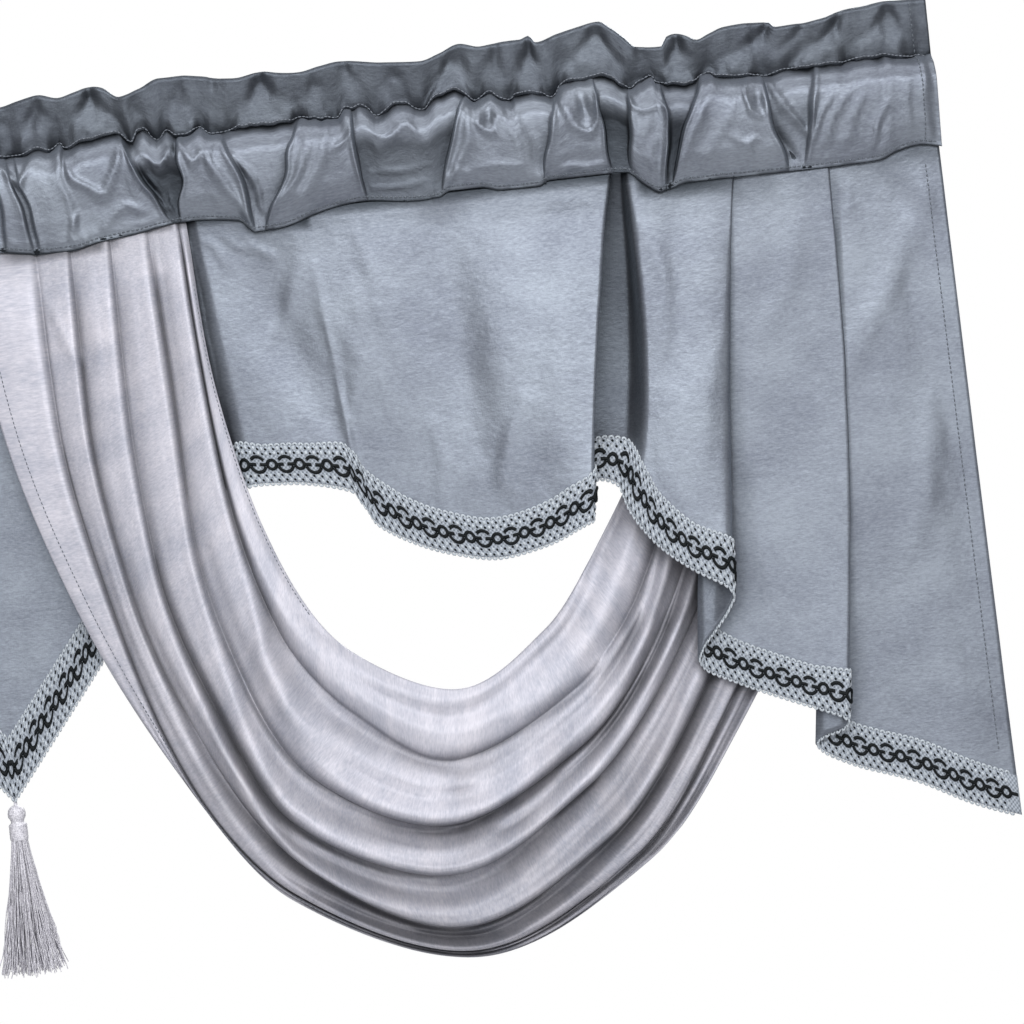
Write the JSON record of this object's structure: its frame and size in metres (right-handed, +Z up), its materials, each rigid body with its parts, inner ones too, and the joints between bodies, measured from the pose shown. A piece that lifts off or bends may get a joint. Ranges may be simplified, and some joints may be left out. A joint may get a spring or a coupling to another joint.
{
  "type": "rod pocket valance",
  "caption": "Gathered rod pocket window valance with satin swags, pleated side panels, a pointed centre panel, woven braid edging and a tassel.",
  "frame": {"origin": "the middle of the top edge of the header ruffle, in the plane of the cloth", "axes": "+X along the rod to the right as seen from the room, -Y towards the room, +Z up"},
  "size_m": [1.5304, 0.0799, 0.6966],
  "materials": {
    "steel_satin": "steel-blue satin with a soft sheen and a faint cross rib",
    "lilac_satin": "lilac-silver satin with a smooth sheen",
    "braid_yarn": "pale ice-grey woven braid with a dark chain along its middle",
    "tassel_yarn": "lilac-silver thread with a silky lustre"
  },
  "bodies": {
    "root": {"heading": "steel_satin", "centre_panel": "steel_satin", "side_panel_right": "steel_satin", "side_panel_left": "steel_satin", "swag_right": "lilac_satin", "swag_left": "lilac_satin", "braid_right": "braid_yarn", "braid_left": "braid_yarn", "braid_centre": "braid_yarn", "tassel": "tassel_yarn"}
  },
  "joints": []
}
